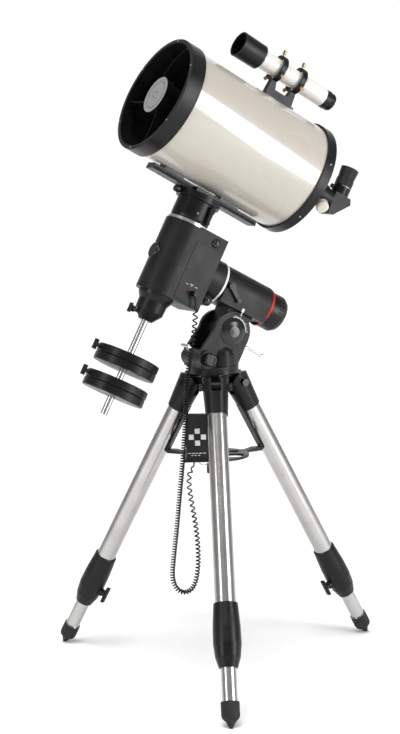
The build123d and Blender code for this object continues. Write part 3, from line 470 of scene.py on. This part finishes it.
def paint_second_faces():
    """Second materials on parts of a node: insides, feet, screws and barrels."""
    paint_faces("optical_tube", within(tube_place, TUBE_R))
    paint_faces("finder_tube", within(finder_place, FINDER_BORE_R))
    paint_faces("front_ring", within(tube_place, RING_BORE_R))
    paint_faces("rear_cell", lambda p, n: n.dot(SIGHT) > 0.5)
    on_secondary = within(tube_place, SECONDARY_R)
    paint_faces("spider", lambda p, n: n.dot(SIGHT) > 0.9 and on_secondary(p, n))
    paint_faces("eyepiece", lambda p, n: (p - TUBE_MID).dot(DEC) / MM < EYEPIECE_NECK)
    paint_faces("dec_cover", lambda p, n: (p - cover_face.origin).dot(NEAR) / MM > SOCKETS_OUT)
    paint_faces("finder_bracket", on_aiming_screw)
    for name in ("weight_upper", "weight_lower"):
        paint_faces(name, lambda p, n: away(p, dec_place) > WEIGHT_EDGE_R)
    for side in LEGS:
        axis = -joint_axis(f"lower_leg_slide_{side}")
        foot = min(v.co.dot(axis) for v in NODES[f"lower_leg_{side}"].data.vertices)
        reach = foot + FOOT_CUP * MM
        paint_faces(f"lower_leg_{side}", lambda p, n, axis=axis, reach=reach: p.dot(axis) < reach)


dress_nodes()
paint_second_faces()


# ---- making pieces ------------------------------------------------------------------------
SHARP_EDGE = math.radians(32)


def add_piece(name, mesh, material, body, smooth=True):
    """Links a mesh as a piece with a material and a body to ride on."""
    piece = bpy.data.objects.new(name, mesh)
    bpy.context.scene.collection.objects.link(piece)
    mesh.materials.append(material)
    if smooth:
        mesh.shade_smooth()
        mesh.set_sharp_from_angle(angle=SHARP_EDGE)
    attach(piece, body)


def mesh_from(name, work):
    """The finished mesh of a bmesh, with its faces turned outwards."""
    bmesh.ops.recalc_face_normals(work, faces=work.faces)
    mesh = bpy.data.meshes.new(name)
    work.to_mesh(mesh)
    work.free()
    return mesh


def lathe_into(work, place, profile, segments=48, start=0.0, sweep=360.0):
    """Turns a profile of (radius, height) about a place's z. A closed profile makes a ring."""
    closed = sweep >= 360.0
    steps = segments if closed else segments + 1
    rings = []
    for step in range(steps):
        turn = math.radians(start + sweep * step / segments)
        cos, sin = math.cos(turn), math.sin(turn)
        rings.append([work.verts.new(place.point(r * cos, r * sin, h)) for r, h in profile])
    count = len(profile)
    for step in range(segments):
        here, there = rings[step], rings[(step + 1) % steps]
        for i in range(count):
            j = (i + 1) % count
            work.faces.new((here[i], here[j], there[j], there[i]))
    if not closed:
        work.faces.new(rings[0])
        work.faces.new(rings[-1])


def merge_axis(work):
    """Joins the points of a lathe that fall together on its axis."""
    bmesh.ops.remove_doubles(work, verts=work.verts, dist=1e-6)
    bmesh.ops.dissolve_degenerate(work, edges=work.edges, dist=1e-7)


def flat_piece(name, work, material, body, slot):
    """A piece of printed marks, lines or strips, whose faces stay flat."""
    add_piece(name, mesh_from(name, work), MAT[material], body, smooth=False)


def ring_piece(name, place, profile, material, body, segments=96):
    """A piece turned about a place's z axis."""
    work = bmesh.new()
    lathe_into(work, place, profile, segments)
    merge_axis(work)
    add_piece(name, mesh_from(name, work), material, body)


def slab_into(work, place, wide, deep, tall, edge=0.2):
    """A small block on a place, with chamfered upper edges."""
    loops = []
    for height, inset in ((0.0, 0.0), (tall - edge, 0.0), (tall, edge)):
        x, y = wide / 2 - inset, deep / 2 - inset
        corners = [(-x, -y), (x, -y), (x, y), (-x, y)]
        loops.append([work.verts.new(place.point(*corner, height)) for corner in corners])
    for low, high in zip(loops, loops[1:]):
        for i in range(4):
            j = (i + 1) % 4
            work.faces.new((low[i], low[j], high[j], high[i]))
    work.faces.new(loops[-1])
    work.faces.new(list(reversed(loops[0])))


def screw_profile(radius, tall):
    """A pan head with a socket recess."""
    return [
        (0, 0),
        (radius, 0),
        (radius, tall * 0.55),
        (radius * 0.86, tall),
        (radius * 0.45, tall),
        (radius * 0.45, tall * 0.45),
        (0, tall * 0.45),
    ]


def screws_piece(name, places, radius, tall, material, body):
    """A set of small screw heads as one piece."""
    work = bmesh.new()
    for place in places:
        lathe_into(work, place, screw_profile(radius, tall), 20)
    merge_axis(work)
    add_piece(name, mesh_from(name, work), material, body)


# ---- curly cord ---------------------------------------------------------------------------
# the CAD tube's own route from the plug to the controller, from the tripod's centre line
CORD_MOUTH, CORD_DROP = Vector((-0.04297, -0.10208, 0.97812)), 0.043
CORD_END = Vector((-0.0560, -0.0680, 0.56195))
CORD_WAY = [
    (-0.0505, -0.1085, 0.880),
    (-0.0620, -0.1115, 0.822),
    (-0.0700, -0.1125, 0.757),
    (-0.0740, -0.1120, 0.688),
    (-0.0800, -0.1105, 0.613),
    (-0.0880, -0.1080, 0.535),
    (-0.0970, -0.1065, 0.457),
    (-0.1050, -0.1060, 0.382),
    (-0.1145, -0.1055, 0.312),
    (-0.1195, -0.1050, 0.262),
    (-0.1080, -0.1040, 0.231),
    (-0.0860, -0.1030, 0.221),
    (-0.0640, -0.1015, 0.235),
    (-0.0525, -0.0995, 0.275),
    (-0.0500, -0.0965, 0.332),
    (-0.0550, -0.0925, 0.396),
    (-0.0645, -0.0880, 0.455),
    (-0.0710, -0.0830, 0.503),
    (-0.0685, -0.0765, 0.532),
    (-0.0560, -0.0680, 0.547),
]
WIRE, COIL_R, COIL_STEP = 0.0039, 0.0051, 0.00045
PITCH_TIGHT, PITCH_WIDE = 0.0068, 0.0190  # a turn of the coil hanging free, and pulled out
COIL_LEAD = 0.030  # how far from each end the coil is opening from straight wire
PULLED_TOP, PULLED_END = 0.170, 0.340  # how far it is pulled out from the plug and the controller
ROUTE_STEPS = 16


def smooth_line(points):
    """The points of a NURBS spline through a route, as Blender works them out."""
    curve = bpy.data.curves.new("route", "CURVE")
    curve.dimensions = "3D"
    spline = curve.splines.new("NURBS")
    spline.points.add(len(points) - 1)
    for point, place in zip(spline.points, points):
        point.co = (*place, 1.0)
    spline.order_u = 3
    spline.use_endpoint_u = True
    spline.resolution_u = ROUTE_STEPS
    carrier = bpy.data.objects.new("route", curve)
    bpy.context.scene.collection.objects.link(carrier)
    mesh = bpy.data.meshes.new_from_object(carrier)
    line = [vertex.co.copy() for vertex in mesh.vertices]
    bpy.data.objects.remove(carrier)
    bpy.data.meshes.remove(mesh)
    bpy.data.curves.remove(curve)
    return line


def evenly(line, step):
    """The same line walked in even steps: points, and the distance of each along it."""
    lengths = [0.0]
    for here, there in zip(line, line[1:]):
        lengths.append(lengths[-1] + (there - here).length)
    count = round(lengths[-1] / step)
    walked = []
    span = 0
    for i in range(count + 1):
        want = lengths[-1] * i / count
        while span < len(line) - 2 and lengths[span + 1] < want:
            span += 1
        share = (want - lengths[span]) / (lengths[span + 1] - lengths[span])
        walked.append((line[span].lerp(line[span + 1], share), want))
    return walked, lengths[-1]


def helix(line):
    """A coil wound round a line, opening from straight wire at each end."""
    walked, total = evenly(line, COIL_STEP)
    side = (walked[1][0] - walked[0][0]).orthogonal().normalized()
    points = []
    turn = 0.0
    for i, (here, gone) in enumerate(walked):
        there = walked[min(i + 1, len(walked) - 1)][0]
        back = walked[max(i - 1, 0)][0]
        ahead = (there - back).normalized()
        side = (side - ahead * side.dot(ahead)).normalized()
        other = ahead.cross(side)
        pulled = max(0.0, 1 - gone / PULLED_TOP, 1 - (total - gone) / PULLED_END)
        turn += 2 * math.pi * COIL_STEP / (PITCH_TIGHT + (PITCH_WIDE - PITCH_TIGHT) * pulled)
        opening = min(gone, total - gone) / COIL_LEAD
        radius = COIL_R * min(1.0, max(0.0, opening)) ** 2
        points.append(here + (side * math.cos(turn) + other * math.sin(turn)) * radius)
    return points


def make_cord():
    """The controller's curly lead, one spline that is coiled nearly all its length."""
    mouth = CENTRE + CORD_MOUTH
    way = [CENTRE + Vector(point) for point in CORD_WAY]
    line = smooth_line([mouth, mouth - UP * CORD_DROP, *way, CENTRE + CORD_END])
    points = helix(line)
    curve = bpy.data.curves.new("curly_lead", "CURVE")
    curve.dimensions = "3D"
    spline = curve.splines.new("POLY")
    spline.points.add(len(points) - 1)
    for point, place in zip(spline.points, points):
        point.co = (*place, 1.0)
    curve.bevel_depth = WIRE / 2
    curve.bevel_resolution = 2
    curve.use_fill_caps = True
    curve.materials.append(MAT["cord"])
    cord = bpy.data.objects.new("curly_lead", curve)
    bpy.context.scene.collection.objects.link(cord)
    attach(cord, "tray")
    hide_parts("handset_cord")


make_cord()


# ---- trim on the mount ----------------------------------------------------------------------
PRINT_TALL, PRINT_EDGE = 0.12, 0.04
TICK_TALL, TICK_EDGE, SHORT_TICK = 0.15, 0.05, 0.6


def tick_marks(name, place, radius, turns, tick, finish, flat):
    """Short printed marks round a ring, every fifth one longer.

    They lie on the ring's outside or, when flat, stand outwards on its face. A tick is the
    length of a long mark and the width of all, and a finish is a material, body and slot.
    """
    long_mark, wide = tick
    work = bmesh.new()
    for i, turn in enumerate(turns):
        cos, sin = math.cos(math.radians(turn)), math.sin(math.radians(turn))
        out = place.x * cos + place.y * sin
        across = place.z.cross(out)
        long = long_mark if i % 5 == 0 else long_mark * SHORT_TICK
        spot = place.point(radius * cos, radius * sin)
        facing, shift = (place.z, -long / 2) if flat else (out, long / 2)
        mark = Place(spot, facing, across)
        slab_into(work, mark.at(y=shift), wide, long, TICK_TALL, TICK_EDGE)
    flat_piece(name, work, *finish)


RA_RING_Z, RA_RING_R = -140.2, 56.0
RED_RING_Z = -296.7
DEC_RING_Z, DEC_RING_R = 96.2, 54.5
WHOLE_TURN = range(0, 360, 5)


def polar_rings():
    """The white setting circle and the red band round the polar axis."""
    bore, bevelled = 52.1, RA_RING_R - 0.4
    ring = [
        (bore, -3.0),
        (bevelled, -3.0),
        (RA_RING_R, -2.4),
        (RA_RING_R, 2.4),
        (bevelled, 3.0),
        (bore, 3.0),
    ]
    place = ra_place.at(z=RA_RING_Z)
    ring_piece("polar_setting_circle", place, ring, MAT["white"], "dec_body")
    finish = ("plastic", "dec_body", "black_plastic")
    tick_marks("polar_circle_marks", place, RA_RING_R, WHOLE_TURN, (3.6, 0.55), finish, flat=False)
    band = [(49.1, 0.2), (51.6, 0.2), (52.2, 1.2), (52.2, 5.4), (51.6, 6.6), (49.1, 6.6)]
    place = ra_place.at(z=RED_RING_Z)
    ring_piece("polar_red_band", place, band, MAT["red"], "polar")


def dec_ring_marks():
    """Marks round the declination setting ring."""
    place = dec_place.at(z=DEC_RING_Z)
    finish = ("plastic", "dec_scale_ring", "black_plastic")
    tick_marks("dec_circle_marks", place, DEC_RING_R, WHOLE_TURN, (4.0, 0.5), finish, flat=False)


def on_near(along, up, out=0.0):
    """A place by the electronics cover's face, along the polar axis and up the declination axis."""
    return cover_face.at(x=along, y=-up, z=out)


COVER_MID, COVER_UP = -57.5, -14.0
COVER_LONG, COVER_WIDE = 152.0, 79.0
SCREW_INSET, SCREWS_OUT, PRINT_OUT = 5.0, 0.6, 1.0
GAP, GAP_OUT, GAP_TALL, GAP_EDGE = 1.3, 0.7, 0.25, 0.05
SUNK = -1.05  # just under the housing's side, which is 1 mm behind the cover's face
SEAM_OUT, SEAM_UP, SEAM_LONG, SEAM_WIDE = 4.5, -1.5, 190.0, 1.1
COVER_PRINT = ((-39.0, -46.0, 7.0), (-52.0, -43.0, 9.0), (-52.0, -47.0, 5.0), (-66.0, -45.0, 8.0))
LAMP_PLACE = (-39.7, -62.0)


def cover_screws():
    """Six small screws near the electronics cover's edges."""
    half_w, half_l = COVER_WIDE / 2 - SCREW_INSET, COVER_LONG / 2 - SCREW_INSET
    spots = [(sx * half_w, sy * half_l) for sx in (-1, 1) for sy in (-1, 0, 1)]
    places = [on_near(COVER_MID + dx, COVER_UP + dy, SCREWS_OUT) for dx, dy in spots]
    screws_piece("cover_screws", places, 1.7, 1.0, MAT["plastic"], "dec_body")


def cover_lines():
    """Painted shade: dark strips for the gap round the electronics cover. Painted highlight: a
    light strip along the housing's seam beside it.
    """
    # painted shade: dark strips standing for the shadow in the gap round the cover
    gap = bmesh.new()
    for sign in (-1, 1):
        upright = on_near(COVER_MID + sign * (COVER_WIDE / 2 + GAP_OUT), COVER_UP, SUNK)
        slab_into(gap, upright, GAP, COVER_LONG + 2 * GAP, GAP_TALL, GAP_EDGE)
        level = on_near(COVER_MID, COVER_UP + sign * (COVER_LONG / 2 + GAP_OUT), SUNK)
        slab_into(gap, level, COVER_WIDE + 2 * GAP, GAP, GAP_TALL, GAP_EDGE)
    flat_piece("cover_gap_shade", gap, "inside", "dec_body", "black_plastic")
    # painted highlight: a light grey ridge standing for the light caught along the housing's seam
    seam = bmesh.new()
    beside = on_near(COVER_MID + COVER_WIDE / 2 + SEAM_OUT, SEAM_UP, SUNK)
    slab_into(seam, beside, SEAM_WIDE, SEAM_LONG, 0.9, 0.4)
    flat_piece("housing_seam_highlight", seam, "seam", "dec_body", "grey_casting")


def cover_print():
    """Plain dashes by the electronics cover's sockets, and the pilot lamp."""
    work = bmesh.new()
    for along, up, wide in COVER_PRINT:
        slab_into(work, on_near(along, up, PRINT_OUT), wide, 1.1, PRINT_TALL, PRINT_EDGE)
    flat_piece("cover_marks", work, "white", "dec_body", "white_key")
    lamp = [(0, -1.0), (1.9, -1.0), (1.9, 0.8), (1.5, 1.8), (0.8, 2.4), (0, 2.6)]
    place = on_near(*LAMP_PLACE)
    ring_piece("pilot_lamp", place, lamp, MAT["lamp"], "dec_body", 24)


WORM_CAPS = (("dec", -69.0, 79.0, -1.0), ("polar", -113.0, -60.0, -8.0))


def dome_caps():
    """Two glossy domed caps over the worms' ends."""
    dome = [
        (0, 0),
        (11.4, 0),
        (11.4, 1.8),
        (10.6, 3.8),
        (8.8, 5.9),
        (6.0, 7.6),
        (3.0, 8.5),
        (0, 8.8),
    ]
    collar = [(11.5, 0), (13.2, 0), (13.2, 0.8), (12.6, 1.3), (11.5, 1.3)]
    for name, along, up, out in WORM_CAPS:
        place = on_near(along, up, out)
        for part, profile, material, slot in (
            ("cap", dome, "gloss", "black_plastic"),
            ("collar", collar, "charcoal", "grey_casting"),
        ):
            ring_piece(f"{name}_worm_{part}", place, profile, MAT[material], "dec_body", 40)


PIVOT_FACE, HOUSING_SIDE = 48.0, 54.0  # from the head's middle plane to the cheek and housing
SCALE_R, SCALE_LINE = 38.4, 1.2


def altitude_scale():
    """Degree marks on the near cheek round the pivot cover, and the pointer on the housing."""
    pivot = joint_point("altitude_tilt")
    level_near = -joint_axis("altitude_tilt")
    place = Place(pivot, level_near, UP).at(z=PIVOT_FACE)
    inner = SCALE_R - SCALE_LINE
    line = [(inner, 0.0), (SCALE_R, 0.0), (SCALE_R, TICK_TALL), (inner, TICK_TALL)]
    work = bmesh.new()
    lathe_into(work, place, line, 40, -96.0, 92.0)
    flat_piece("altitude_line", work, "white", "azimuth", "white_key")
    finish = ("white", "azimuth", "white_key")
    turns = range(-95, -5, 6)
    tick_marks("altitude_marks", place, SCALE_R, turns, (6.0, 1.0), finish, flat=True)
    side = Place(pivot, level_near, DEC).at(z=HOUSING_SIDE)
    pointer = bmesh.new()
    slab_into(pointer, side.at(x=60.5), 9.0, 7.0, 0.8)
    slab_into(pointer, side.at(x=51.0), 12.0, 2.0, 0.6)
    flat_piece("altitude_pointer", pointer, "white", "polar", "white_key")


HEAD_R, HEAD_SCREWS_Z = 50.6, 126.0


def head_trim():
    """Small screws round the declination head."""
    place = dec_place.at(z=HEAD_SCREWS_Z)
    spots = []
    for turn in (20.0, 52.0, 100.0, 160.0, 220.0, 280.0):
        out = place.x * math.cos(math.radians(turn)) - place.y * math.sin(math.radians(turn))
        spots.append(Place(place.origin + out * HEAD_R * MM, out, DEC))
    screws_piece("head_screws", spots, 2.8, 1.6, MAT["zinc"], "dec_head")


polar_rings()
dec_ring_marks()
cover_screws()
cover_lines()
cover_print()
dome_caps()
altitude_scale()
head_trim()


# ---- trim on the controller and tray ----------------------------------------------------------
LOOP_R, LOOP_WIRE = 13.0, 0.7
LOOP_PLACE = (15.0, 0.3, -10.0)
# each dash's place across and up from the case's lower middle, and its width
UPPER_PRINT = [(x, 20.0, 7.0) for x in (-21.0, -11.5, -2.0, 7.5, 17.0)]
LOWER_PRINT = [(x, 14.5, 5.0) for x in (-14.0, -5.5, 3.0)]


def handset_trim():
    """Printed marks on the hand controller and the wire loop that it hangs by."""
    low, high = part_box("handset_case")
    mid = (low.x + high.x) / 2
    face = Place(Vector((mid, low.y, low.z)), Vector((0, -1, 0)), Vector((1, 0, 0)))
    work = bmesh.new()
    for x, up, wide in UPPER_PRINT + LOWER_PRINT:
        slab_into(work, face.at(x=x, y=up), wide, 1.6, PRINT_TALL, PRINT_EDGE)
    flat_piece("handset_marks", work, "white", "tray", "white_key")
    turns = [math.pi * k / 4 for k in range(8)]
    ring = [(LOOP_R + LOOP_WIRE * math.cos(a), LOOP_WIRE * math.sin(a)) for a in turns]
    loop = bmesh.new()
    lathe_into(loop, face.at(*LOOP_PLACE), ring, 24, -180.0, 180.0)
    mesh = mesh_from("hanging_loop", loop)
    add_piece("hanging_loop", mesh, MAT["black_steel"], "tray")


handset_trim()


# ---- trim on the optical tube ------------------------------------------------------------------
RING_FACE_Z, RING_FACE_R = 231.4, 147.3
CELL_Z, CELL_R = 232.0, 152.5
SECONDARY_Z, CIRCLE_WIDE, CIRCLE_TALL = 227.6, 1.1, 0.12
FINDER_FRONT_Z, FINDER_EYE_Z = 22.0, -238.0
EYEPIECE_Z = 381.0


def tube_screws():
    """Six screws on the front ring's face and six round the rear cell."""
    places = []
    rear = []
    for step in range(6):
        turn = math.radians(30 + 60 * step)
        cos, sin = math.cos(turn), math.sin(turn)
        places.append(tube_place.at(x=RING_FACE_R * cos, y=RING_FACE_R * sin, z=RING_FACE_Z))
        turn = math.radians(15 + 60 * step)
        out = SIGHT_NEAR * math.cos(turn) + DEC * math.sin(turn)
        rear.append(Place(TUBE_MID - SIGHT * CELL_Z * MM + out * CELL_R * MM, out, SIGHT))
    screws_piece("front_ring_screws", places, 2.4, 1.3, MAT["zinc"], "ota")
    screws_piece("rear_cell_screws", rear, 2.6, 1.6, MAT["zinc"], "ota")


def secondary_circles():
    """Two thin circles on the secondary's cover."""
    face = tube_place.at(z=SECONDARY_Z)
    for name, radius in (("outer", 36.0), ("inner", 9.0)):
        edge = radius + CIRCLE_WIDE
        line = [(radius, 0.0), (edge, 0.0), (edge, CIRCLE_TALL), (radius, CIRCLE_TALL)]
        name = f"secondary_circle_{name}"
        ring_piece(name, face, line, MAT["plastic"], "ota", 72)


def glasses():
    """The finder's and the eyepiece's lenses."""
    objective = [(0, -3.0), (29.0, -1.2), (29.0, 0.6), (20.0, 2.0), (10.0, 2.7), (0, 3.0)]
    place = finder_place.at(z=FINDER_FRONT_Z)
    ring_piece("finder_objective", place, objective, MAT["objective"], "ota", 64)
    eye_lens = [(0, 1.0), (9.0, 1.0), (9.0, 0.2), (5.0, -0.5), (0, -0.8)]
    place = finder_place.at(z=FINDER_EYE_Z)
    ring_piece("finder_eye_lens", place, eye_lens, MAT["eye_glass"], "ota", 40)
    glass = [(0, 88.1), (12.6, 90.3), (8.0, 91.6), (0, 92.2)]
    place = Place(TUBE_MID - SIGHT * EYEPIECE_Z * MM, DEC, SIGHT)
    ring_piece("eyepiece_lens", place, glass, MAT["eye_glass"], "eyepiece", 40)


tube_screws()
secondary_circles()
glasses()


# ---- floor and light ---------------------------------------------------------------------------
FLOOR_HALF = 400.0


def make_floor():
    """A plain pale floor that reaches past every view."""
    work = bmesh.new()
    for sx, sy in ((-1, -1), (1, -1), (1, 1), (-1, 1)):
        work.verts.new((sx * FLOOR_HALF, sy * FLOOR_HALF, 0))
    work.faces.new(work.verts)
    floor = bpy.data.objects.new("floor", mesh_from("floor", work))
    bpy.context.scene.collection.objects.link(floor)
    paint = Paint("floor", (0.90, 0.90, 0.90), 0.80, shine=0.1)
    paint.vary(3.0, 0.01)
    floor.data.materials.append(paint.material)


def soft_light(name, place, aim, size, power):
    """A rectangular softbox that faces a point."""
    data = bpy.data.lights.new(name, "AREA")
    data.shape = "RECTANGLE"
    data.size, data.size_y = size
    data.energy = power
    lamp = bpy.data.objects.new(name, data)
    lamp.location = place
    lamp.rotation_euler = (Vector(aim) - Vector(place)).to_track_quat("-Z", "Y").to_euler()
    bpy.context.scene.collection.objects.link(lamp)


SUN_HIGH = 4.0


def soft_sun(aim, strength, wide):
    """One broad overhead light that reaches the whole floor alike."""
    data = bpy.data.lights.new("overhead", "SUN")
    data.energy = strength
    data.angle = math.radians(wide)
    lamp = bpy.data.objects.new("overhead", data)
    lamp.location = (0, 0, SUN_HIGH)
    lamp.rotation_euler = Vector(aim).to_track_quat("-Z", "Y").to_euler()
    bpy.context.scene.collection.objects.link(lamp)


ROOM, BACKDROP = 0.34, 1.03  # how bright the room is, and the white wall behind the object
WALL_START, WALL_FULL = 0.66, 0.93  # from the room to the wall, along the view's direction


def make_world():
    """A pale grey room with a white wall behind the object."""
    world = bpy.data.worlds.new("studio")
    world.use_nodes = True
    tree = world.node_tree
    where = tree.nodes.new("ShaderNodeTexCoord")
    parts = tree.nodes.new("ShaderNodeSeparateXYZ")
    tree.links.new(where.outputs["Generated"], parts.inputs["Vector"])
    spread = tree.nodes.new("ShaderNodeMapRange")
    spread.interpolation_type = "SMOOTHSTEP"
    sockets = ("From Min", "From Max", "To Min", "To Max")
    for socket, number in zip(sockets, (WALL_START, WALL_FULL, ROOM, BACKDROP)):
        spread.inputs[socket].default_value = number
    tree.links.new(parts.outputs["Y"], spread.inputs["Value"])
    background = tree.nodes["Background"]
    background.inputs["Color"].default_value = (1, 1, 1, 1)
    tree.links.new(spread.outputs["Result"], background.inputs["Strength"])
    bpy.context.scene.world = world


def make_film():
    """Plain display of colours, with white where the light saturates as on a cut-out picture."""
    settings = bpy.context.scene.view_settings
    settings.view_transform = "Standard"
    settings.look = "None"


make_floor()
make_world()
make_film()
soft_sun((0.12, 0.22, -1.0), 2.6, 42.0)
soft_light("left_strip", (-3.0, -2.5, 1.7), (0, 0, 0.9), (0.7, 3.0), 52)
soft_light("right_strip", (3.1, -1.7, 1.5), (0, 0, 1.0), (1.1, 3.0), 95)
